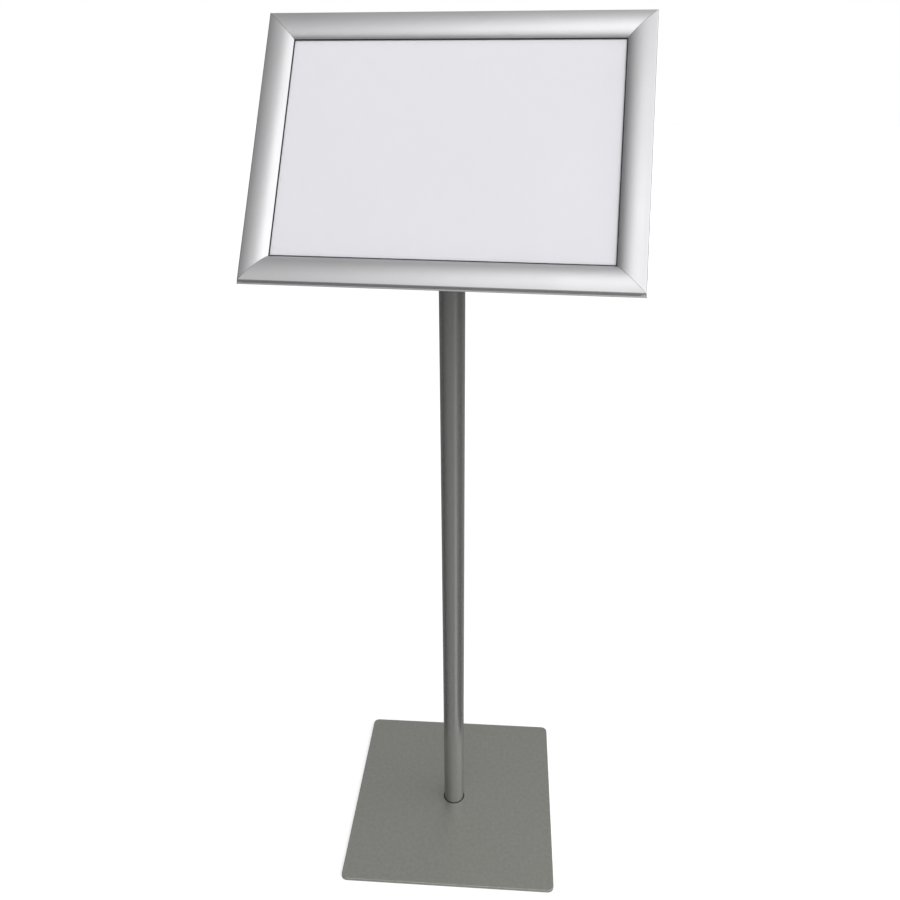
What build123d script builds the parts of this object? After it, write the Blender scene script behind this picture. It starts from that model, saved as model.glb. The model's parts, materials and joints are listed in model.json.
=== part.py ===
from build123d import *
from math import cos, degrees, radians, sin
import os

# A poster display stand. Millimetres, +Z up, origin on the floor under the middle of the post, front towards -Y.
# Root body: base, post and post head. On it tilts a bracket, on the bracket swivels the poster frame, and on the
# frame each of four snap lips opens about its outer edge.

# Driving dimensions
FRAME_W = 474.0  # outer width of the poster frame (A3 landscape sheet in a 36 mm wide profile)
FRAME_H = 351.0
PAPER_W = 420.0  # A3 sheet
PAPER_H = 297.0
PROFILE_W = 36.0  # width of the snap lips, seen from the front
LEAN = 35.0  # the frame leans back from upright by this many degrees
PIVOT_Z = 1100.0  # height of the tilt axis
FRAME_BACK = 33.0  # from the tilt axis to the back plane of the frame, along the frame's normal
POST_D = 35.0
POST_WALL = 1.5
BASE_W = 350.0  # square base
BASE_TURN = 4.0  # the base stands turned under the head by this many degrees

# Base
PAD_D = 30.0
PAD_T = 1.5
PAD_CHAMFER = 0.4
PAD_INSET = 32.0  # from the base's edge to a pad's centre
BALLAST_T = 3.5
COVER_T = 1.0
COVER_GAP = 1.0  # between the floor and the cover's rim
COVER_R = 10.0  # corner radius, seen from above
COVER_EDGE_R = 0.8
COVER_HOLE_D = 38.0
BALLAST_W = BASE_W - 4.0
BALLAST_Z = PAD_T
COVER_Z = BALLAST_Z + BALLAST_T  # underside of the cover's top sheet
FOOT_SCREW_D = 6.0
FOOT_SCREW_PCD = 20.0
FOOT_SCREW_HEAD_D = 12.0
FOOT_SCREW_HEAD_H = 3.0
FOOT_SCREW_L = 14.0
FOOT_SCREWS = 3
FOOT_SCREW_SOCKET = 4.0  # hexagon across flats
FOOT_SCREW_SOCKET_DEPTH = 2.5
FOOT_PLUG_T = 12.0

# Post head
HEAD_RISE = 22.0  # tilt axis above the collar
COLLAR_T = 4.0
COLLAR_EDGE_R = 1.2
POST_TOP = PIVOT_Z - HEAD_RISE - COLLAR_T
PLUG_GAP = 0.05
PLUG_L = 36.0
PLUG_BORE_D = 20.0
TONGUE_T = 14.0
PIVOT_R = 13.0  # rounded end of the tongue and of the bracket's ears
SET_SCREW_D = 5.0
SET_SCREW_L = 6.0
SET_SCREW_SUNK = 0.3  # below the tube's surface
SET_SCREW_DROP = 18.0  # below the top of the tube
SET_SCREW_ANGLES = (90.0, 210.0, 330.0)

# Tilt joint
BOLT_D = 8.0
FIT_GAP = 0.05  # radial gap of a running fit
FACE_GAP = 0.2  # between faces that slide on each other
FRICTION_T = 1.1
FRICTION_D = 24.0
EAR_IN = TONGUE_T / 2 + FACE_GAP + FRICTION_T
EAR_T = 4.0
EAR_OUT = EAR_IN + EAR_T
EAR_ROOT_W = 30.0
WASHER_T = 1.6
WASHER_D = 16.0
BOLT_HEAD_AF = 13.0
BOLT_HEAD_H = 5.3
BOLT_HEAD_CHAMFER = 0.6
BOLT_END = 28.0  # from the stand's middle plane to the bolt's tip, inside the knob

# Clamp knob
KNOB_IN = EAR_OUT + WASHER_T + FACE_GAP
KNOB_NECK_D = 18.0
KNOB_NECK_L = 5.0
KNOB_D = 40.0
KNOB_T = 14.0
KNOB_LOBES = 6
KNOB_SCALLOP_R = 6.5
KNOB_SCALLOP_OUT = 2.5  # from the knob's rim to a scallop's centre
KNOB_NECK_FLARE = 2.0
KNOB_EDGE_R = 2.0
INSERT_D = 12.0
INSERT_L = 16.0

# Swivel joint: w is measured along the frame's normal from the frame's back plane
BAR_W = 60.0
BAR_T = 2.0
BAR_INSET = 8.0  # bar's ends, from the frame's outer edges
BAR_CORNER_R = 6.0
SWIVEL_FRICTION_D = 34.0
SWIVEL_FRICTION_BORE = 8.6
SWIVEL_FRICTION_W = -BAR_T - FACE_GAP  # front face of the friction washer
PLATE_W = 56.0  # the bracket's plate
PLATE_T = 3.0
PLATE_CORNER_R = 6.0
PLATE_FRONT_W = SWIVEL_FRICTION_W - FRICTION_T
PLATE_BACK_W = PLATE_FRONT_W - PLATE_T
INNER_FRICTION_D = 16.0
INNER_FRICTION_T = 1.0
NUT_WASHER_D = 15.0
NUT_WASHER_W = PLATE_BACK_W - INNER_FRICTION_T - FACE_GAP
NUT_W = NUT_WASHER_W - WASHER_T
NUT_AF = 13.0
NUT_H = 6.5
STUD_OUT = 1.4  # past the lock nut
STUD_END_W = NUT_W - NUT_H - STUD_OUT
STUD_HEAD_D = 13.0
STUD_HEAD_T = 1.0
STOP_PIN_D = 4.0
STOP_PIN_RADIUS = 22.0
STOP_PIN_ANGLE = 45.0  # where the pin stands at rest, seen from the front
STOP_PIN_SHORT = 0.3
STOP_PIN_END_W = PLATE_BACK_W + STOP_PIN_SHORT
STOP_GAP = 0.3
SWIVEL_RANGE = 90.0
RIVET_D = 4.0
RIVET_HEAD_D = 8.4
RIVET_HEAD_H = 1.5
RIVET_HEAD_R = 1.2
RIVET_BULB_D = 6.4
RIVET_BULB_H = 2.6
RIVET_BULB_R = 1.0
RIVET_X = 20.0
RIVET_INSET = 13.5
HOLE_GAP = 0.05

# Frame rails: s runs inwards from the outer edge, w forwards from the back plane
RAIL_T = 1.4
RAIL_WEB_END = 31.0
RAIL_CORNER_R = 3.5  # rounded back edge
HINGE_S = 2.9  # centre of each lip's hinge bead
HINGE_W = 5.6
BEAD_R = 1.7
SOCKET_R = 2.9
SOCKET_OPEN_FROM = 76.0  # degrees, the open side of the hinge socket
SOCKET_OPEN_TO = 209.0
RIB_T = 1.2
PANEL_RIB_S = 23.2
PANEL_RIB_TOP = 4.0
KEY_RIB_S = (7.0, 18.8)
KEY_RIB_TOP = 3.6

# Snap lips: a shell with an oval face that is highest near the frame's outer edge and slopes down inwards
LIP_T = 1.4
CREST_S = 14.0
CREST_W = 11.6
OVAL_HALF_S = 22.2
OVAL_HALF_W = 9.3
LIP_START_S = 1.8  # the shell's outer edge, level with the neck's outer face
LIP_END_S = 34.9
LIP_EDGE_R = 2.0  # rounded outer edge
LIP_HINGE_GAP = 0.16  # between the shell and the rail's hinge socket
LIP_UNDER_W = 5.0  # flat underside of the shell's inner edge
LEG_S = 29.0
LEG_T = 1.2
LEG_END_W = 4.6
NECK_ANGLE = 100.0
NECK_T = 1.2
NECK_L = 4.0
LIP_MITRE_GAP = 0.2
BEAD_SETBACK = 5.0  # the bead ends this far short of the mitre

# Sheets
PANEL_MARGIN = 25.0  # from the frame's outer edge to the back panel's edge
PANEL_T = 2.0
POSTER_T = 0.3
COVER_SHEET_T = 0.4
SHEET_GAP = 0.1  # the clear sheet lies on the poster with a film of air
PANEL_W0 = RAIL_T
POSTER_W0 = PANEL_W0 + PANEL_T
SHEET_W0 = POSTER_W0 + POSTER_T + SHEET_GAP
SHEET_TOP = SHEET_W0 + COVER_SHEET_T

# Gasket strips under the lips' inner edges
GASKET_GAP = 0.1  # above the clear cover
GASKET_LEG_GAP = 0.1  # from the lip's leg
GASKET_BEAD_T = 1.2
GASKET_BEAD_W = 6.2
GASKET_END_GAP = 0.05  # from the end of the lip's shell
GASKET_IN_S = 36.2  # the edge of the opening
GASKET_IN_W = 5.35

# Corner keys
KEY_T = 2.0
KEY_S = 8.3
KEY_W = 10.4
KEY_ARM = 46.0
KEY_SCREW_D = 4.0
KEY_SCREW_L = 3.4
KEY_SCREW_AT = 36.0  # along an arm, from the key's outer corner

# Spring clips
CLIP_T = 0.5
CLIP_W = 16.0
CLIP_FOOT = (18.2, 11.5)
CLIP_BEND = (8.4, 5.2)
CLIP_TIP = (6.8, 9.1)
CLIP_OFFSETS = {"bottom": 110.0, "right": 70.0, "top": 110.0, "left": 70.0}

SIDES = ("bottom", "right", "top", "left")
BASE = Rot(0, 0, BASE_TURN)
PIVOT = Pos(0, 0, PIVOT_Z)
HEAD = PIVOT * Rot(90 - LEAN, 0, 0)  # x across, y up the frame, z out along its normal, from the tilt axis
FACE = HEAD * Pos(0, 0, FRAME_BACK)  # the same, from the frame's back plane


def save(name, solids):
    """Writes one node. A list of identical pieces becomes one node of separate solids."""
    shape = Compound(children=list(solids)) if isinstance(solids, list) else solids
    export_step(shape, f"parts/{name}.step")


def rod(diameter, low, high):
    """A round bar on the z axis."""
    return Pos(0, 0, low) * Cylinder(diameter / 2, high - low, align=(Align.CENTER, Align.CENTER, Align.MIN))


def ring(outer, inner, low, high):
    """A washer, tube or collar on the z axis."""
    return rod(outer, low, high) - rod(inner, low - 1, high + 1)


def slab(width, depth, low, high, corner_r=0.0):
    """A flat plate about the z axis."""
    outline = RectangleRounded(width, depth, corner_r) if corner_r else Rectangle(width, depth)
    return extrude(Pos(0, 0, low) * outline, high - low)


def hexagon(across_flats, low, high):
    return extrude(Pos(0, 0, low) * RegularPolygon(across_flats / 2, 6, major_radius=False), high - low)


def across(shape):
    """Turns a shape made about the z axis so that its axis runs along +x through the tilt pivot."""
    return Rot(0, 90, 0) * shape


# Base and post


def base_cover():
    """Sheet-steel cover with a turned-down rim, and a hole that the post passes through."""
    top = COVER_Z + COVER_T
    outer = slab(BASE_W, BASE_W, COVER_GAP, top, COVER_R)
    outer = fillet(outer.faces().sort_by(Axis.Z)[-1].edges(), COVER_EDGE_R)
    inside = BASE_W - 2 * COVER_T
    cover = outer - slab(inside, inside, 0, COVER_Z, COVER_R - COVER_T)
    return cover - rod(COVER_HOLE_D, 0, top + 1)


def foot_screw_places():
    return [Rot(0, 0, 360 / FOOT_SCREWS * i) * Pos(FOOT_SCREW_PCD / 2, 0, 0) for i in range(FOOT_SCREWS)]


def foot_screw_body():
    """Countersunk screw, head down, without its socket."""
    cone = Pos(0, 0, BALLAST_Z + FOOT_SCREW_HEAD_H / 2) * Cone(
        FOOT_SCREW_HEAD_D / 2, FOOT_SCREW_D / 2, FOOT_SCREW_HEAD_H
    )
    return cone + rod(FOOT_SCREW_D, BALLAST_Z + FOOT_SCREW_HEAD_H / 2, BALLAST_Z + FOOT_SCREW_L)


def ballast_plate():
    plate = slab(BALLAST_W, BALLAST_W, BALLAST_Z, COVER_Z, COVER_R - 2 * COVER_T)
    for place in foot_screw_places():
        plate -= place * foot_screw_body()
    return plate


def foot_screws():
    socket = hexagon(FOOT_SCREW_SOCKET, 0, BALLAST_Z + FOOT_SCREW_SOCKET_DEPTH)
    return [place * (foot_screw_body() - socket) for place in foot_screw_places()]


def foot_pad(x_side, y_side):
    at = BASE_W / 2 - PAD_INSET
    return Pos(x_side * at, y_side * at, 0) * chamfer(
        rod(PAD_D, 0, PAD_T).edges().sort_by(Axis.Z)[0], PAD_CHAMFER
    )


def post_foot_plug():
    """Steel disc fixed in the lower end of the tube, with threaded holes for the foot screws."""
    plug = rod(POST_D - 2 * POST_WALL, COVER_Z, COVER_Z + FOOT_PLUG_T)
    for place in foot_screw_places():
        plug -= place * rod(FOOT_SCREW_D, 0, COVER_Z + FOOT_PLUG_T + 1)
    return plug


def set_screw_places():
    height = POST_TOP - SET_SCREW_DROP
    return [Pos(0, 0, height) * Rot(0, 0, angle) * Rot(0, 90, 0) for angle in SET_SCREW_ANGLES]


def post_tube():
    tube = ring(POST_D, POST_D - 2 * POST_WALL, COVER_Z, POST_TOP)
    for place in set_screw_places():
        tube -= place * rod(SET_SCREW_D + 2 * HOLE_GAP, 0, POST_D)
    return tube


def set_screws():
    outer = POST_D / 2 - SET_SCREW_SUNK
    socket = hexagon(SET_SCREW_D / 2, outer - SET_SCREW_L / 2, outer + 1)
    screw = rod(SET_SCREW_D, outer - SET_SCREW_L, outer) - socket
    return [place * screw for place in set_screw_places()]


def post_head():
    """Cast head: a plug in the tube, a collar on its end, and a tongue that carries the tilt bolt."""
    plug_d = POST_D - 2 * (POST_WALL + PLUG_GAP)
    collar = rod(POST_D, POST_TOP, POST_TOP + COLLAR_T)
    collar = fillet(collar.edges().sort_by(Axis.Z)[-1], COLLAR_EDGE_R)
    head = rod(plug_d, POST_TOP - PLUG_L, POST_TOP) + collar
    head -= rod(PLUG_BORE_D, POST_TOP - PLUG_L - 1, POST_TOP - COLLAR_T)
    blank = Circle(PIVOT_R) + Pos(HEAD_RISE / 2 + 0.5, 0) * Rectangle(HEAD_RISE + 1, 2 * PIVOT_R)
    tongue = PIVOT * across(extrude(blank, TONGUE_T / 2, both=True))
    head += tongue
    head -= PIVOT * across(rod(BOLT_D + 2 * FIT_GAP, -TONGUE_T, TONGUE_T))
    for place in set_screw_places():
        head -= place * rod(SET_SCREW_D, POST_D / 2 - SET_SCREW_SUNK - SET_SCREW_L, POST_D)
    return head


# Tilt bracket, its bolt and the knob


def stop_slot():
    """Quarter-circle slot in the bracket's plate that the stop pin runs in."""
    width = STOP_PIN_D + 2 * STOP_GAP
    spare = degrees(STOP_GAP / STOP_PIN_RADIUS)
    start = STOP_PIN_ANGLE - spare
    sweep = SWIVEL_RANGE + 2 * spare
    line = CenterArc((0, 0), STOP_PIN_RADIUS, start, sweep)
    ends = [Pos(line @ t) * Circle(width / 2) for t in (0, 1)]
    band = Circle(STOP_PIN_RADIUS + width / 2) - Circle(STOP_PIN_RADIUS - width / 2)
    reach = 3 * STOP_PIN_RADIUS
    corners = [(0, 0)]
    for share in (0, 0.5, 1):
        angle = radians(start + share * sweep)
        corners.append((reach * cos(angle), reach * sin(angle)))
    outline = band & make_face(Polyline(*corners, close=True))
    for end in ends:
        outline += end
    return outline


def tilt_bracket():
    """Plate behind the frame, with two ears that straddle the tongue."""
    front = FRAME_BACK + PLATE_FRONT_W
    back = FRAME_BACK + PLATE_BACK_W
    bracket = slab(PLATE_W, PLATE_W, back, front, PLATE_CORNER_R)
    ear = make_hull(
        (
            Circle(PIVOT_R).edges()
            + (Pos(-back - 0.5, 0) * Rectangle(1.0, EAR_ROOT_W)).edges()
        )
    )
    for low in (EAR_IN, -EAR_OUT):
        bracket += across(Pos(0, 0, low) * extrude(ear, EAR_T))
    bracket -= across(rod(BOLT_D + 2 * FIT_GAP, -2 * EAR_OUT, 2 * EAR_OUT))
    bracket -= rod(BOLT_D + 2 * FIT_GAP, back - 1, front + 1)
    bracket -= extrude(Pos(0, 0, back - 1) * stop_slot(), PLATE_T + 2)
    return HEAD * bracket


def tilt_bolt():
    head_in = -EAR_OUT - WASHER_T
    head = hexagon(BOLT_HEAD_AF, head_in - BOLT_HEAD_H, head_in)
    head = chamfer(head.edges().group_by(Axis.Z)[0], BOLT_HEAD_CHAMFER)
    return HEAD * across(head + rod(BOLT_D, head_in, BOLT_END))


def tilt_washer(side):
    low = EAR_OUT if side > 0 else -EAR_OUT - WASHER_T
    return HEAD * across(ring(WASHER_D, BOLT_D + 2 * FIT_GAP, low, low + WASHER_T))


def tilt_friction_washer(side):
    low = EAR_IN - FRICTION_T if side > 0 else -EAR_IN
    return HEAD * across(ring(FRICTION_D, BOLT_D + 2 * FIT_GAP, low, low + FRICTION_T))


def clamp_knob():
    """Star knob with a tapering neck, closed at its outer end."""
    grip_in = KNOB_IN + KNOB_NECK_L
    grip = Circle(KNOB_D / 2)
    for i in range(KNOB_LOBES):
        scallop = Pos(KNOB_D / 2 + KNOB_SCALLOP_OUT, 0) * Circle(KNOB_SCALLOP_R)
        grip -= Rot(0, 0, 360 / KNOB_LOBES * i) * scallop
    knob = extrude(Pos(0, 0, grip_in) * grip, KNOB_T)
    knob = fillet(knob.edges().group_by(Axis.Z)[-1] + knob.edges().group_by(Axis.Z)[0], KNOB_EDGE_R)
    knob += Pos(0, 0, KNOB_IN + KNOB_NECK_L / 2 + 0.5) * Cone(
        KNOB_NECK_D / 2, KNOB_NECK_D / 2 + KNOB_NECK_FLARE, KNOB_NECK_L + 1
    )
    knob -= rod(INSERT_D, KNOB_IN - 1, KNOB_IN + INSERT_L)
    return HEAD * across(knob)


def knob_insert():
    return HEAD * across(ring(INSERT_D, BOLT_D + 2 * FIT_GAP, KNOB_IN, KNOB_IN + INSERT_L))


# Swivel


def swivel_friction_washer():
    low = SWIVEL_FRICTION_W - FRICTION_T
    return FACE * ring(SWIVEL_FRICTION_D, SWIVEL_FRICTION_BORE, low, SWIVEL_FRICTION_W)


def swivel_inner_washer():
    return FACE * ring(INNER_FRICTION_D, SWIVEL_FRICTION_BORE, PLATE_BACK_W - INNER_FRICTION_T, PLATE_BACK_W)


def swivel_stud():
    """Stud pressed into the support bar, its flat head under the back panel."""
    return FACE * (rod(BOLT_D, STUD_END_W, 0) + rod(STUD_HEAD_D, 0, STUD_HEAD_T))


def swivel_nut_washer():
    return FACE * ring(NUT_WASHER_D, BOLT_D, NUT_W, NUT_WASHER_W)


def swivel_lock_nut():
    return FACE * (hexagon(NUT_AF, NUT_W - NUT_H, NUT_W) - rod(BOLT_D, NUT_W - NUT_H - 1, NUT_W + 1))


def stop_pin():
    return FACE * Rot(0, 0, STOP_PIN_ANGLE) * Pos(STOP_PIN_RADIUS, 0, 0) * rod(STOP_PIN_D, STOP_PIN_END_W, 0)


def rivet_places():
    y = FRAME_H / 2 - RIVET_INSET
    return [Pos(x_side * RIVET_X, y_side * y, 0) for x_side in (-1, 1) for y_side in (-1, 1)]


def support_bar():
    """Flat steel bar across the back of the frame, riveted to the top and bottom rails."""
    bar = slab(BAR_W, FRAME_H - 2 * BAR_INSET, -BAR_T, 0, BAR_CORNER_R)
    bar -= rod(BOLT_D, -BAR_T - 1, 1)
    bar -= Rot(0, 0, STOP_PIN_ANGLE) * Pos(STOP_PIN_RADIUS, 0, 0) * rod(STOP_PIN_D, -BAR_T - 1, 1)
    for place in rivet_places():
        bar -= place * rod(RIVET_D + 2 * HOLE_GAP, -BAR_T - 1, 1)
    return FACE * bar


def bar_rivets():
    dome = rod(RIVET_HEAD_D, -BAR_T - RIVET_HEAD_H, -BAR_T)
    dome = fillet(dome.edges().sort_by(Axis.Z)[0], RIVET_HEAD_R)
    shank = rod(RIVET_D, -BAR_T, RAIL_T)
    bulb = rod(RIVET_BULB_D, RAIL_T, RAIL_T + RIVET_BULB_H)
    bulb = fillet(bulb.edges().sort_by(Axis.Z)[-1], RIVET_BULB_R)
    rivet = dome + shank + bulb
    return [FACE * place * rivet for place in rivet_places()]


# Frame: a side's section is drawn in s and w, and side k stands at 90 k degrees round the frame


def side_size(side):
    """Outer length of a side, and its distance from the frame's centre."""
    lying = side in ("bottom", "top")
    return (FRAME_W, FRAME_H / 2) if lying else (FRAME_H, FRAME_W / 2)


def side_place(side):
    distance = side_size(side)[1]
    return FACE * Rot(0, 0, 90 * SIDES.index(side)) * Pos(0, -distance, 0)


def bar_of(section, length):
    """A section in s and w, extruded both ways along the side."""
    return extrude(Plane.YZ * section, length / 2, both=True)


def mitred(section, length, gap):
    """The same, cut at 45 degrees at both ends, a gap short of the corner's diagonal."""
    deep = PROFILE_W + 10
    trim = Polyline(
        (-length / 2 - 1 + gap, -1),
        (length / 2 + 1 - gap, -1),
        (length / 2 - deep - gap, deep),
        (deep + gap - length / 2, deep),
        close=True,
    )
    return bar_of(section, length) & extrude(Pos(0, 0, -10) * make_face(trim), 40)


def block(s0, s1, w0, w1):
    return Pos((s0 + s1) / 2, (w0 + w1) / 2) * Rectangle(s1 - s0, w1 - w0)


def rail_section():
    """Extruded rail: back web, rounded outer wall that ends in the hinge socket, and locating ribs."""
    hinge = Pos(HINGE_S, HINGE_W)
    bend = Pos(RAIL_CORNER_R, RAIL_CORNER_R)
    corner = bend * (Circle(RAIL_CORNER_R) - Circle(RAIL_CORNER_R - RAIL_T))
    section = corner & block(0, RAIL_CORNER_R, 0, RAIL_CORNER_R)
    section += block(0, RAIL_T, RAIL_CORNER_R, HINGE_W)
    section += block(RAIL_CORNER_R, RAIL_WEB_END, 0, RAIL_T)
    section += block(PANEL_RIB_S, PANEL_RIB_S + RIB_T, 0, PANEL_RIB_TOP)
    for s in KEY_RIB_S:
        section += block(s, s + RIB_T, 0, KEY_RIB_TOP)
    section += hinge * Circle(SOCKET_R)
    section -= hinge * Circle(BEAD_R + FIT_GAP)
    mouth = [(0, 0)]
    for share in (0, 0.25, 0.5, 0.75, 1):
        angle = radians(SOCKET_OPEN_FROM + share * (SOCKET_OPEN_TO - SOCKET_OPEN_FROM))
        mouth.append((2 * SOCKET_R * cos(angle), 2 * SOCKET_R * sin(angle)))
    return section - hinge * make_face(Polyline(*mouth, close=True))


def frame_rail(side):
    rail = mitred(rail_section(), side_size(side)[0], 0)
    rail = side_place(side) * rail
    if side in ("bottom", "top"):
        for place in rivet_places():
            rail -= FACE * place * rod(RIVET_D + 2 * HOLE_GAP, -1, RAIL_T + 1)
    return rail


def lip_oval(inset):
    return Pos(CREST_S, CREST_W - OVAL_HALF_W) * Ellipse(OVAL_HALF_S - inset, OVAL_HALF_W - inset)


def lip_outline():
    """Everything under the lip's face, from its outer edge inwards, with that edge rounded."""
    outline = lip_oval(0) & block(LIP_START_S, LIP_END_S, CREST_W - OVAL_HALF_W, CREST_W + 1)
    edge = outline.vertices().group_by(Axis.X)[0].sort_by(Axis.Y)[-1]
    return fillet(edge, LIP_EDGE_R)


def lip_shell():
    """Oval shell, with a leg on its underside that the gasket lies against."""
    shell = lip_outline() - lip_oval(LIP_T)
    shell &= block(LIP_START_S, LIP_END_S, LIP_UNDER_W, CREST_W + 1)
    shell -= Pos(HINGE_S, HINGE_W) * Circle(SOCKET_R + LIP_HINGE_GAP)
    leg = block(LEG_S, LEG_S + LEG_T, LEG_END_W, CREST_W) & lip_oval(LIP_T / 2)
    return shell + leg


def lip_hinge():
    """The bead that turns in the rail's socket, and the neck that joins it to the shell."""
    hinge = Pos(HINGE_S, HINGE_W)
    neck = hinge * Rot(0, 0, NECK_ANGLE) * Pos(NECK_L / 2, 0) * Rectangle(NECK_L, NECK_T)
    return (neck & lip_outline()) + hinge * Circle(BEAD_R)


def snap_lip(side):
    length = side_size(side)[0]
    lip = mitred(lip_shell(), length, LIP_MITRE_GAP)
    lip += bar_of(lip_hinge(), length - 2 * (HINGE_S + BEAD_SETBACK))
    return side_place(side) * lip


def gasket_section():
    """Flat strip between the lip and the sheets, with a bead behind the lip's leg and a raised inner edge."""
    start = LEG_S + LEG_T + GASKET_LEG_GAP
    low = SHEET_TOP + GASKET_GAP
    section = block(start, GASKET_IN_S, low, LIP_UNDER_W)
    section += block(start, start + GASKET_BEAD_T, low, GASKET_BEAD_W)
    return section + block(LIP_END_S + GASKET_END_GAP, GASKET_IN_S, low, GASKET_IN_W)


def lip_gasket(side):
    """Black strip along the lip's inner edge, which presses on the edge of the sheets."""
    return side_place(side) * mitred(gasket_section(), side_size(side)[0], LIP_MITRE_GAP)


def spring_clip(side, way):
    """Bent spring-steel strip standing in the rail's channel, under the lip."""
    foot_w = RAIL_T + CLIP_T / 2
    foot = Line((CLIP_FOOT[0], foot_w), (CLIP_FOOT[1], foot_w))
    arm = ThreePointArc(foot @ 1, CLIP_BEND, CLIP_TIP)
    strip = extrude(Plane.YZ * trace(foot + arm, CLIP_T), CLIP_W / 2, both=True)
    return side_place(side) * Pos(way * CLIP_OFFSETS[side], 0, 0) * strip


def corner_place(index):
    """Frame corners counted anticlockwise from the lower left, x and y pointing inwards along the sides."""
    x_side, y_side = ((-1, -1), (1, -1), (1, 1), (-1, 1))[index]
    return FACE * Pos(x_side * FRAME_W / 2, y_side * FRAME_H / 2, 0) * Rot(0, 0, 90 * index)


def key_screw_places():
    middle = KEY_S + KEY_W / 2
    far = KEY_S + KEY_SCREW_AT
    return [Pos(far, middle, 0), Pos(middle, far, 0)]


def corner_key(index):
    """Flat angle that joins two rails inside their channels."""
    outline = Pos(KEY_S, KEY_S) * Rectangle(KEY_ARM, KEY_W, align=Align.MIN)
    outline += Pos(KEY_S, KEY_S) * Rectangle(KEY_W, KEY_ARM, align=Align.MIN)
    key = extrude(Pos(0, 0, RAIL_T) * outline, KEY_T)
    for place in key_screw_places():
        key -= place * rod(KEY_SCREW_D, 0, 2 * RAIL_T + KEY_T)
    return corner_place(index) * key


def key_screws():
    screw = rod(KEY_SCREW_D, RAIL_T, RAIL_T + KEY_SCREW_L)
    screw -= hexagon(KEY_SCREW_D / 2, RAIL_T + KEY_SCREW_L / 2, RAIL_T + KEY_SCREW_L + 1)
    return [corner_place(index) * place * screw for index in range(4) for place in key_screw_places()]


def sheet(width, height, low, thickness):
    return FACE * slab(width, height, low, low + thickness)


os.makedirs("parts", exist_ok=True)

save("base_cover", BASE * base_cover())
save("ballast_plate", BASE * ballast_plate())
save("foot_screws", [BASE * screw for screw in foot_screws()])
for x_side, x_name in ((-1, "left"), (1, "right")):
    for y_side, y_name in ((-1, "front"), (1, "rear")):
        save(f"foot_pad_{y_name}_{x_name}", BASE * foot_pad(x_side, y_side))
save("post_foot_plug", BASE * post_foot_plug())
save("post_tube", post_tube())
save("post_head", post_head())
save("head_set_screws", set_screws())

save("tilt_bracket", tilt_bracket())
save("tilt_bolt", tilt_bolt())
for x_side, x_name in ((-1, "left"), (1, "right")):
    save(f"tilt_washer_{x_name}", tilt_washer(x_side))
    save(f"tilt_friction_washer_{x_name}", tilt_friction_washer(x_side))
save("swivel_friction_washer", swivel_friction_washer())
save("swivel_inner_washer", swivel_inner_washer())
save("clamp_knob", clamp_knob())
save("knob_insert", knob_insert())

save("swivel_stud", swivel_stud())
save("swivel_nut_washer", swivel_nut_washer())
save("swivel_lock_nut", swivel_lock_nut())
save("swivel_stop_pin", stop_pin())
save("support_bar", support_bar())
save("bar_rivets", bar_rivets())
for side in SIDES:
    save(f"rail_{side}", frame_rail(side))
    save(f"snap_lip_{side}", snap_lip(side))
    save(f"lip_gasket_{side}", lip_gasket(side))
    for number, way in ((1, -1), (2, 1)):
        save(f"spring_clip_{side}_{number}", spring_clip(side, way))
for index, name in enumerate(("bottom_left", "bottom_right", "top_right", "top_left")):
    save(f"corner_key_{name}", corner_key(index))
save("key_screws", key_screws())
save("back_panel", sheet(FRAME_W - 2 * PANEL_MARGIN, FRAME_H - 2 * PANEL_MARGIN, PANEL_W0, PANEL_T))
save("poster", sheet(PAPER_W, PAPER_H, POSTER_W0, POSTER_T))
save("clear_cover", sheet(FRAME_W - 2 * PANEL_MARGIN, FRAME_H - 2 * PANEL_MARGIN, SHEET_W0, COVER_SHEET_T))
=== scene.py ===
import json
from math import cos, pi, radians, sin

import bpy
from mathutils import Matrix, Vector

# A poster stand in a pale studio. The CAD nodes keep their shapes and get their finishes here.
# Lengths are in metres, and a texture's scale is per metre.

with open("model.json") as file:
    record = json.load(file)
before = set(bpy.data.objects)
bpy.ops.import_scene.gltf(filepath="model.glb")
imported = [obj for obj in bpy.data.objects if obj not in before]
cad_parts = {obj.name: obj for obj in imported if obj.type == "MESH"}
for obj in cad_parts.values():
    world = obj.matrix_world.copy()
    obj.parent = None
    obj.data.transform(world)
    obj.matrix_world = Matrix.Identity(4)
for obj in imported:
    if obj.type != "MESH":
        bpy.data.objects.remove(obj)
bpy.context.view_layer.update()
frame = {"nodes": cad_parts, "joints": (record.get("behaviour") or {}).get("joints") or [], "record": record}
nodes = frame["nodes"]
joint_named = {joint["name"]: joint for joint in frame["joints"]}

# The poster frame's own directions, from its joints: across, up its face, and out along its normal.
ACROSS = Vector((1, 0, 0))
NORMAL = Vector(joint_named["frame_swivel"]["axis"]).normalized()
UP = NORMAL.cross(ACROSS)
PIVOT = Vector(joint_named["frame_tilt"]["pos_m"])
# Turns a texture's x and y to run across the face and up it. The face leans about x alone.
FACE_TURN = tuple(-angle for angle in Matrix((ACROSS, UP, NORMAL)).transposed().to_euler())


# Colours and finishes

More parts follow.
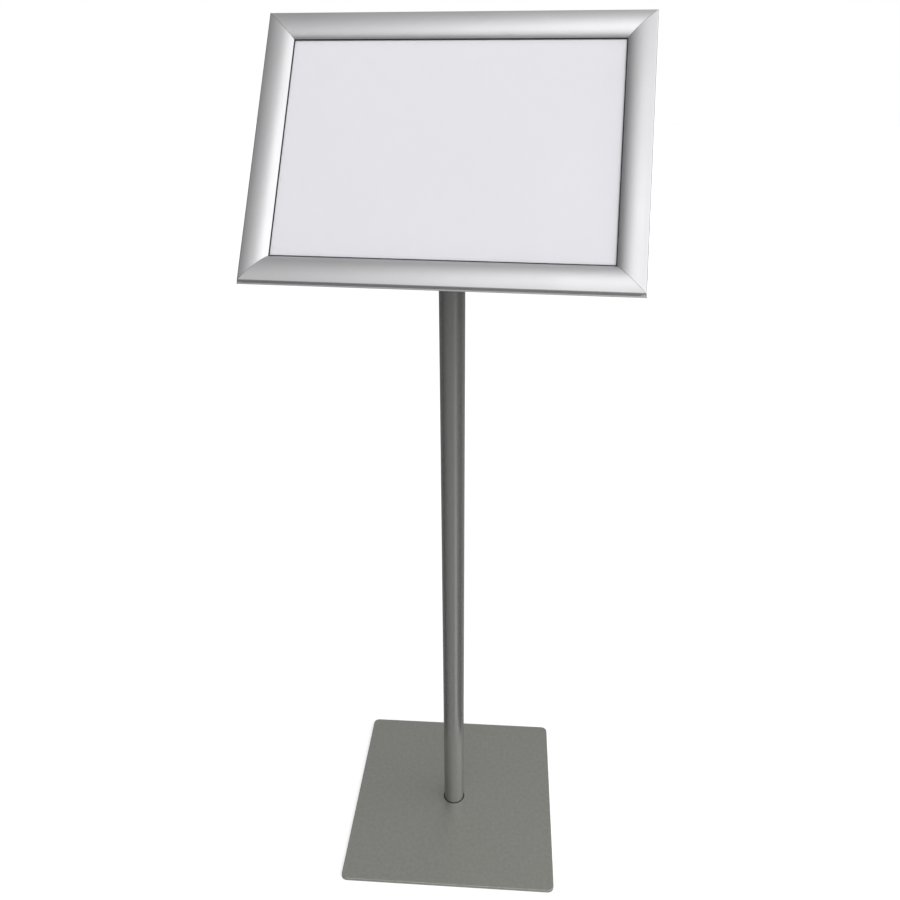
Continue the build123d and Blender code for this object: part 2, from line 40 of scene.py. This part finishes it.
LIP_COLOUR = (0.66, 0.66, 0.67)
# The rails are the same anodised aluminium as the lips. Their lighter colour is painted light, which
# brightens the shaded band under the bottom lip and the frame's back.
RAIL_PAINTED_LIGHT_COLOUR = (0.88, 0.88, 0.89)
ALUMINIUM_ROUGHNESS = 0.5
DIE_LINE_STRETCH = 0.012  # the texture's scale along a bar, as a share of its scale across
LACQUER_COLOUR = (0.455, 0.455, 0.42)
# The same lacquer as the base, darkened on the post as painted shade.
POST_PAINTED_SHADE_COLOUR = (0.335, 0.335, 0.325)
FLAKE_SHARE = 0.5  # of the lacquer's fine flake in its shade, next to its coarser mottle
# Black paint on the ballast, which shows mainly in the gap round the post's foot. There its blackness is
# partly painted shade.
BALLAST_AND_SHADE_COLOUR = (0.025, 0.025, 0.025)
PAD_COLOUR = (0.03, 0.03, 0.03)
ZINC_COLOUR = (0.62, 0.63, 0.66)
CAST_COLOUR = (0.30, 0.30, 0.31)
BRACKET_COLOUR = (0.035, 0.035, 0.037)
NYLON_COLOUR = (0.78, 0.76, 0.70)
KNOB_COLOUR = (0.022, 0.022, 0.024)
BRASS_COLOUR = (0.78, 0.60, 0.30)
# Near black, darker than the pads' rubber: partly the gasket's own colour, partly painted shade for the dark
# line under the lips.
GASKET_AND_SHADE_COLOUR = (0.012, 0.012, 0.012)
KEY_COLOUR = (0.6, 0.6, 0.61)
SPRING_COLOUR = (0.45, 0.45, 0.47)
BRUSHING_STRETCH = 0.05  # the texture's scale along its brushing, as a share of its scale across
PANEL_COLOUR = (0.72, 0.72, 0.73)
FIBRE_DARK = (0.735, 0.73, 0.765)
FIBRE_LIGHT = (0.76, 0.755, 0.79)
PAPER_TONE = (0.75, 0.742, 0.785)
CLEAR_COLOUR = (0.95, 0.95, 0.97)
SHARP_EDGE = radians(28)
NOISE_LOW = 0.3  # nearly all of a noise's values lie between these two
NOISE_HIGH = 0.7


# Shader building blocks


def new_material(name):
    """A node material. Returns it with its tree and its Principled shader."""
    material = bpy.data.materials.new(name)
    material.use_nodes = True
    tree = material.node_tree
    shader = tree.nodes["Principled BSDF"]
    return material, tree, shader


def coordinates(tree, stretch=(1, 1, 1), turn=(0, 0, 0)):
    """The piece's own coordinates, turned and then stretched."""
    source = tree.nodes.new("ShaderNodeTexCoord")
    turned = tree.nodes.new("ShaderNodeMapping")
    turned.inputs["Rotation"].default_value = turn
    stretched = tree.nodes.new("ShaderNodeMapping")
    stretched.inputs["Scale"].default_value = stretch
    tree.links.new(source.outputs["Object"], turned.inputs["Vector"])
    tree.links.new(turned.outputs["Vector"], stretched.inputs["Vector"])
    return stretched.outputs["Vector"]


def noise(tree, vector, scale, detail, roughness=0.5):
    texture = tree.nodes.new("ShaderNodeTexNoise")
    texture.inputs["Scale"].default_value = scale
    texture.inputs["Detail"].default_value = detail
    texture.inputs["Roughness"].default_value = roughness
    tree.links.new(vector, texture.inputs["Vector"])
    return texture.outputs["Fac"]


def spread(tree, value, low, high):
    """Maps a noise onto a range."""
    mapped = tree.nodes.new("ShaderNodeMapRange")
    mapped.inputs["From Min"].default_value = NOISE_LOW
    mapped.inputs["From Max"].default_value = NOISE_HIGH
    mapped.inputs["To Min"].default_value = low
    mapped.inputs["To Max"].default_value = high
    tree.links.new(value, mapped.inputs["Value"])
    return mapped.outputs["Result"]


def tinted(tree, value, dark, light):
    """Mixes two colours by a value from 0 to 1."""
    mix = tree.nodes.new("ShaderNodeMix")
    mix.data_type = "RGBA"
    mix.inputs["A"].default_value = (*dark, 1)
    mix.inputs["B"].default_value = (*light, 1)
    tree.links.new(value, mix.inputs["Factor"])
    return mix.outputs["Result"]


def scaled(colour, factor):
    return tuple(min(1.0, channel * factor) for channel in colour)


def vary_colour(tree, shader, value, colour, darkest, lightest):
    """The base colour follows a value from 0 to 1, between two multiples of a colour."""
    shade = tinted(tree, value, scaled(colour, darkest), scaled(colour, lightest))
    tree.links.new(shade, shader.inputs["Base Color"])


def vary_roughness(tree, shader, value, low, high):
    """The roughness follows a noise."""
    tree.links.new(spread(tree, value, low, high), shader.inputs["Roughness"])


def bump(tree, shader, height, distance, strength, under=None):
    """A relief, over another one where that is given. Returns its normal."""
    node = tree.nodes.new("ShaderNodeBump")
    node.inputs["Distance"].default_value = distance
    node.inputs["Strength"].default_value = strength
    tree.links.new(height, node.inputs["Height"])
    if under is not None:
        tree.links.new(under, node.inputs["Normal"])
    tree.links.new(node.outputs["Normal"], shader.inputs["Normal"])
    return node.outputs["Normal"]


# Materials


def extruded_aluminium(name, colour, direction):
    """Satin anodised extrusion: fine die lines along the bar, a soft matt grain and faint cloudiness."""
    material, tree, shader = new_material(name)
    stretch = (DIE_LINE_STRETCH, 1, 1) if direction == "across" else (1, DIE_LINE_STRETCH, 1)
    lines = noise(tree, coordinates(tree, stretch, FACE_TURN), scale=1400, detail=2.0)
    grain = noise(tree, coordinates(tree), scale=2600, detail=2.0)
    cloud = noise(tree, coordinates(tree), scale=9, detail=4.0)
    vary_colour(tree, shader, spread(tree, grain, 0, 1), colour, darkest=0.94, lightest=1.05)
    vary_roughness(tree, shader, cloud, ALUMINIUM_ROUGHNESS - 0.02, ALUMINIUM_ROUGHNESS + 0.03)
    shader.inputs["Metallic"].default_value = 1.0
    under = bump(tree, shader, lines, distance=0.000012, strength=0.35)
    bump(tree, shader, grain, distance=0.00001, strength=0.5, under=under)
    return material


def metallic_lacquer(name, colour, roughness, flake_contrast, peel_strength):
    """Silver-grey sprayed lacquer on steel: fine flake, orange peel, and faint rubbed patches."""
    material, tree, shader = new_material(name)
    flake = noise(tree, coordinates(tree), scale=1500, detail=2.0, roughness=0.7)
    mottle = noise(tree, coordinates(tree), scale=160, detail=4.0, roughness=0.6)
    rubbed = noise(tree, coordinates(tree), scale=7, detail=5.0, roughness=0.6)
    peel = noise(tree, coordinates(tree), scale=420, detail=2.0)
    mixed = tree.nodes.new("ShaderNodeMath")
    mixed.operation = "MULTIPLY_ADD"
    mixed.inputs[1].default_value = FLAKE_SHARE
    tree.links.new(spread(tree, flake, 0, 1), mixed.inputs[0])
    tree.links.new(spread(tree, mottle, 0, 1 - FLAKE_SHARE), mixed.inputs[2])
    shade = mixed.outputs["Value"]
    vary_colour(tree, shader, shade, colour, darkest=1 - flake_contrast, lightest=1 + flake_contrast)
    vary_roughness(tree, shader, rubbed, roughness - 0.04, roughness + 0.05)
    shader.inputs["Metallic"].default_value = 0.75
    bump(tree, shader, peel, distance=0.00002, strength=peel_strength)
    return material


def coated(name, colour, roughness, pebble_scale=600, pebble_height=0.00003, metallic=0.0):
    """Powder coat or cast skin: a pebbled surface, with dust-light patches."""
    material, tree, shader = new_material(name)
    pebbles = noise(tree, coordinates(tree), pebble_scale, detail=3.0)
    patches = noise(tree, coordinates(tree), scale=25, detail=4.0, roughness=0.6)
    vary_colour(tree, shader, spread(tree, patches, 0, 1), colour, darkest=0.88, lightest=1.2)
    vary_roughness(tree, shader, patches, roughness - 0.05, roughness + 0.07)
    shader.inputs["Metallic"].default_value = metallic
    bump(tree, shader, pebbles, pebble_height, strength=0.6)
    return material


def turned_metal(name, colour, roughness):
    """Plated or turned steel and brass: fine brushing, and a little tarnish."""
    material, tree, shader = new_material(name)
    stretch = (BRUSHING_STRETCH, 1, 1)
    brushing = noise(tree, coordinates(tree, stretch), scale=3000, detail=2.0)
    tarnish = noise(tree, coordinates(tree), scale=180, detail=5.0, roughness=0.65)
    vary_colour(tree, shader, spread(tree, tarnish, 0, 1), colour, darkest=0.82, lightest=1.08)
    vary_roughness(tree, shader, tarnish, roughness - 0.06, roughness + 0.1)
    shader.inputs["Metallic"].default_value = 1.0
    bump(tree, shader, brushing, distance=0.00001, strength=0.4)
    return material


def moulded(name, colour, roughness, spark_scale=900, spark_height=0.00004):
    """Moulded plastic or rubber: spark texture and slight mottling."""
    material, tree, shader = new_material(name)
    spark = noise(tree, coordinates(tree), spark_scale, detail=3.0, roughness=0.6)
    mottling = noise(tree, coordinates(tree), scale=60, detail=3.0)
    vary_colour(tree, shader, spread(tree, mottling, 0, 1), colour, darkest=0.96, lightest=1.04)
    vary_roughness(tree, shader, spark, roughness - 0.05, roughness + 0.08)
    bump(tree, shader, spark, spark_height, strength=0.5)
    return material


def poster_paper():
    """Blank matt paper: a little fibre, and a faint broad unevenness of tone."""
    material, tree, shader = new_material("poster_paper")
    fibre = noise(tree, coordinates(tree, turn=FACE_TURN), scale=1800, detail=4.0, roughness=0.6)
    tone = noise(tree, coordinates(tree, turn=FACE_TURN), scale=3, detail=2.0)
    paper = tinted(tree, spread(tree, fibre, 0, 1), FIBRE_DARK, FIBRE_LIGHT)
    mix = tree.nodes.new("ShaderNodeMix")
    mix.data_type = "RGBA"
    mix.inputs["B"].default_value = (*PAPER_TONE, 1)
    tree.links.new(spread(tree, tone, 0, 0.6), mix.inputs["Factor"])
    tree.links.new(paper, mix.inputs["A"])
    tree.links.new(mix.outputs["Result"], shader.inputs["Base Color"])
    shader.inputs["Roughness"].default_value = 0.75
    bump(tree, shader, fibre, distance=0.00001, strength=0.3)
    return material


def clear_sheet():
    """Thin clear sheet with a fine non-glare surface: nearly all of the paper shows through."""
    material, tree, shader = new_material("clear_sheet")
    haze = noise(tree, coordinates(tree), scale=700, detail=2.0)
    vary_roughness(tree, shader, haze, 0.26, 0.34)
    shader.inputs["Base Color"].default_value = (*CLEAR_COLOUR, 1)
    shader.inputs["Alpha"].default_value = 0.12
    return material


def slot_materials():
    """A material for each of the record's slots, apart from the bars' two."""
    return {
        "grey_lacquer": metallic_lacquer(
            "grey_lacquer", LACQUER_COLOUR, roughness=0.4, flake_contrast=0.16, peel_strength=0.4
        ),
        # The ballast's black is partly painted shade in the gap round the post's foot.
        "ballast_paint": coated("ballast_paint", BALLAST_AND_SHADE_COLOUR, roughness=0.55),
        "pad_rubber": moulded("pad_rubber", PAD_COLOUR, roughness=0.75),
        "zinc_steel": turned_metal("zinc_steel", ZINC_COLOUR, roughness=0.3),
        "cast_head": coated(
            "cast_head", CAST_COLOUR, roughness=0.5, pebble_scale=380, pebble_height=0.00006, metallic=0.9
        ),
        "bracket_paint": coated("bracket_paint", BRACKET_COLOUR, roughness=0.42),
        "nylon": moulded("nylon", NYLON_COLOUR, roughness=0.5),
        "knob_plastic": moulded("knob_plastic", KNOB_COLOUR, roughness=0.48),
        "brass": turned_metal("brass", BRASS_COLOUR, roughness=0.28),
        # The gasket's near black is partly painted shade under the lips.
        "gasket_rubber": moulded("gasket_rubber", GASKET_AND_SHADE_COLOUR, roughness=0.6),
        "key_aluminium": turned_metal("key_aluminium", KEY_COLOUR, roughness=0.4),
        "spring_steel": turned_metal("spring_steel", SPRING_COLOUR, roughness=0.22),
        "panel_plastic": moulded(
            "panel_plastic", PANEL_COLOUR, roughness=0.55, spark_scale=500, spark_height=0.00003
        ),
        "poster_paper": poster_paper(),
        "clear_sheet": clear_sheet(),
    }


def node_materials():
    """The post's coat is glossier and more even than that of the other lacquered nodes, and darker as
    painted shade.
    """
    return {
        "post_tube": metallic_lacquer(
            "post_painted_shade_lacquer", POST_PAINTED_SHADE_COLOUR, roughness=0.22, flake_contrast=0.08, peel_strength=0.12
        ),
    }


def bar_materials():
    """Each extrusion's material, once for bars across the frame and once for bars up its face."""
    # The rails' colour holds painted light: it is lighter than the lips' though the metal is the same.
    colours = {"lip_aluminium": LIP_COLOUR, "rail_aluminium": RAIL_PAINTED_LIGHT_COLOUR}
    return {
        (slot, direction): extruded_aluminium(f"{slot}_{direction}", colour, direction)
        for direction in ("across", "up")
        for slot, colour in colours.items()
    }


def finish_nodes():
    """Gives each CAD node its material, with smooth shading between its sharp edges."""
    by_slot = slot_materials()
    by_node = node_materials()
    by_bar = bar_materials()
    for subpart in frame["record"]["subparts"]:
        node, slot = subpart["node"], subpart["material_slot"]
        if node in by_node:
            material = by_node[node]
        elif slot in by_slot:
            material = by_slot[slot]
        else:
            direction = "across" if node.endswith(("_top", "_bottom")) else "up"
            material = by_bar[slot, direction]
        mesh = nodes[node].data
        mesh.materials.clear()
        mesh.materials.append(material)
        mesh.shade_smooth()
        mesh.set_sharp_from_angle(angle=SHARP_EDGE)


# Studio. A fade's two values are where it starts and where it is complete.
# Heights run from 1 straight up to -1 straight down, and depths are heights below the horizon.

SIDE_LIGHT = 3.39
SIDE_FADE = (-0.7, 0.1)  # by how far forward a direction points
FRONT_LIGHT = 1.32
FRONT_FLOOR_LIGHT = 0.67
TOP_LIGHT = 0.31
TOP_FADE = (0.5, 1.0)  # by height
REAR_LIGHT = 0.32
REAR_FLOOR_LIGHT = 1.0
HORIZON_FADE = (-0.1, 0.35)  # by height
LOW_WINDOW_LIGHT = 0.6
LOW_WINDOW_AZIMUTH = radians(37)  # from the front towards the right
LOW_WINDOW_POWER = 40.0  # the higher, the narrower
LOW_WINDOW_FADE = (0.0, 0.8)  # by depth
FLOOR_SIZE = 40
FLOOR_COLOUR = (0.9, 0.9, 0.9)
FLOOR_ROUGHNESS = 0.9
FLOOR_GLOW = 0.5
WHITE = (1, 1, 1, 1)
LAMP_SIZE = 0.6
LAMP_DISTANCE = 1.7
FRAME_CENTRE = PIVOT + NORMAL * 0.04

CAMERA_PLACE = (0.1443, -0.9931, 1.2026)
CAMERA_YAW = radians(-7.754)  # towards the right
CAMERA_PITCH = radians(26.022)  # downwards
CAMERA_LENS = 31.04  # in millimetres, as the sensor is
CAMERA_SENSOR = 36.0
CAMERA_SHIFT = (-0.0099, -0.0007)


def studio_floor():
    bpy.ops.mesh.primitive_plane_add(size=FLOOR_SIZE, location=(0, 0, 0))
    floor = bpy.context.object
    floor.name = "studio_floor"
    material, _, shader = new_material("studio_floor")
    shader.inputs["Base Color"].default_value = (*FLOOR_COLOUR, 1)
    shader.inputs["Roughness"].default_value = FLOOR_ROUGHNESS
    shader.inputs["Emission Color"].default_value = WHITE
    shader.inputs["Emission Strength"].default_value = FLOOR_GLOW
    floor.data.materials.append(material)
    floor.visible_glossy = False


def calculate(tree, operation, first, second=0.0):
    """A Math node's result. Each value is another node's output or a float."""
    node = tree.nodes.new("ShaderNodeMath")
    node.operation = operation
    for socket, value in zip(node.inputs, (first, second)):
        if isinstance(value, float):
            socket.default_value = value
        else:
            tree.links.new(value, socket)
    return node.outputs["Value"]


def fade(tree, value, ends):
    """Rises smoothly from 0 to 1 between two values."""
    node = tree.nodes.new("ShaderNodeMapRange")
    node.interpolation_type = "SMOOTHSTEP"
    node.inputs["From Min"].default_value = ends[0]
    node.inputs["From Max"].default_value = ends[1]
    tree.links.new(value, node.inputs["Value"])
    return node.outputs["Result"]


def low_window(tree, x, y, height, depth):
    """A narrow upright band of light below the horizon, like a bright window mirrored in the floor."""
    rightward = calculate(tree, "MULTIPLY", x, sin(LOW_WINDOW_AZIMUTH))
    backward = calculate(tree, "MULTIPLY", y, cos(LOW_WINDOW_AZIMUTH))
    towards = calculate(tree, "SUBTRACT", rightward, backward)
    squared = calculate(tree, "POWER", height, 2.0)
    plan_length = calculate(tree, "SQRT", calculate(tree, "SUBTRACT", 1.0, squared))
    facing = calculate(tree, "MAXIMUM", calculate(tree, "DIVIDE", towards, plan_length), 0.0)
    narrow = calculate(tree, "POWER", facing, LOW_WINDOW_POWER)
    return calculate(tree, "MULTIPLY", narrow, fade(tree, depth, LOW_WINDOW_FADE))


def room_level(tree):
    """How bright the room is in each direction: brightest on the right, with a low window."""
    source = tree.nodes.new("ShaderNodeTexCoord")
    split = tree.nodes.new("ShaderNodeSeparateXYZ")
    tree.links.new(source.outputs["Generated"], split.inputs["Vector"])
    x, y, height = (split.outputs[axis] for axis in "XYZ")
    right = calculate(tree, "MAXIMUM", x, 0.0)
    rear = calculate(tree, "MAXIMUM", y, 0.0)
    forward = calculate(tree, "MULTIPLY", y, -1.0)
    front = calculate(tree, "MAXIMUM", forward, 0.0)
    depth = calculate(tree, "MAXIMUM", calculate(tree, "MULTIPLY", height, -1.0), 0.0)
    above_horizon = fade(tree, height, HORIZON_FADE)
    side = calculate(tree, "MULTIPLY", calculate(tree, "POWER", right, 2.0), above_horizon)
    ahead = calculate(tree, "POWER", front, 2.0)
    parts = (
        (calculate(tree, "MULTIPLY", side, fade(tree, forward, SIDE_FADE)), SIDE_LIGHT),
        (calculate(tree, "MULTIPLY", ahead, above_horizon), FRONT_LIGHT),
        (calculate(tree, "MULTIPLY", depth, front), FRONT_FLOOR_LIGHT),
        (fade(tree, height, TOP_FADE), TOP_LIGHT),
        (calculate(tree, "MULTIPLY", rear, above_horizon), REAR_LIGHT),
        (calculate(tree, "MULTIPLY", depth, rear), REAR_FLOOR_LIGHT),
        (low_window(tree, x, y, height, depth), LOW_WINDOW_LIGHT),
    )
    level = 0.0
    for part, strength in parts:
        level = calculate(tree, "ADD", calculate(tree, "MULTIPLY", part, strength), level)
    return level


def studio_world():
    """The room lights the stand, and the camera sees a white backdrop in its place."""
    world = bpy.data.worlds.new("studio")
    bpy.context.scene.world = world
    world.use_nodes = True
    tree = world.node_tree
    room = tree.nodes["Background"]
    room.inputs["Color"].default_value = WHITE
    tree.links.new(room_level(tree), room.inputs["Strength"])

    backdrop = tree.nodes.new("ShaderNodeBackground")
    backdrop.inputs["Color"].default_value = WHITE
    path = tree.nodes.new("ShaderNodeLightPath")
    mix = tree.nodes.new("ShaderNodeMixShader")
    tree.links.new(path.outputs["Is Camera Ray"], mix.inputs["Fac"])
    tree.links.new(room.outputs["Background"], mix.inputs[1])
    tree.links.new(backdrop.outputs["Background"], mix.inputs[2])
    tree.links.new(mix.outputs["Shader"], tree.nodes["World Output"].inputs["Surface"])


def studio_lamp(name, azimuth, elevation, power):
    """A square lamp aimed at the frame. Azimuth, from the front to the right, and elevation in degrees."""
    turn, rise = radians(azimuth), radians(elevation)
    towards = Vector((sin(turn) * cos(rise), -cos(turn) * cos(rise), sin(rise)))
    data = bpy.data.lights.new(name, "AREA")
    data.shape = "SQUARE"
    data.size = LAMP_SIZE
    data.energy = power
    lamp = bpy.data.objects.new(name, data)
    lamp.location = FRAME_CENTRE + towards * LAMP_DISTANCE
    lamp.rotation_euler = (-towards).to_track_quat("-Z", "Y").to_euler()
    lamp.visible_camera = False
    bpy.context.scene.collection.objects.link(lamp)


def camera():
    data = bpy.data.cameras.new("camera")
    data.sensor_width = CAMERA_SENSOR
    data.lens = CAMERA_LENS
    data.shift_x, data.shift_y = CAMERA_SHIFT
    eye = bpy.data.objects.new("camera", data)
    eye.location = CAMERA_PLACE
    eye.rotation_euler = (pi / 2 - CAMERA_PITCH, 0.0, -CAMERA_YAW)
    bpy.context.scene.collection.objects.link(eye)
    bpy.context.scene.camera = eye


finish_nodes()
studio_floor()
studio_world()
studio_lamp("key", azimuth=22, elevation=55, power=3.7)
studio_lamp("fill", azimuth=0, elevation=40, power=2.0)
camera()
bpy.context.scene.view_settings.view_transform = "Standard"
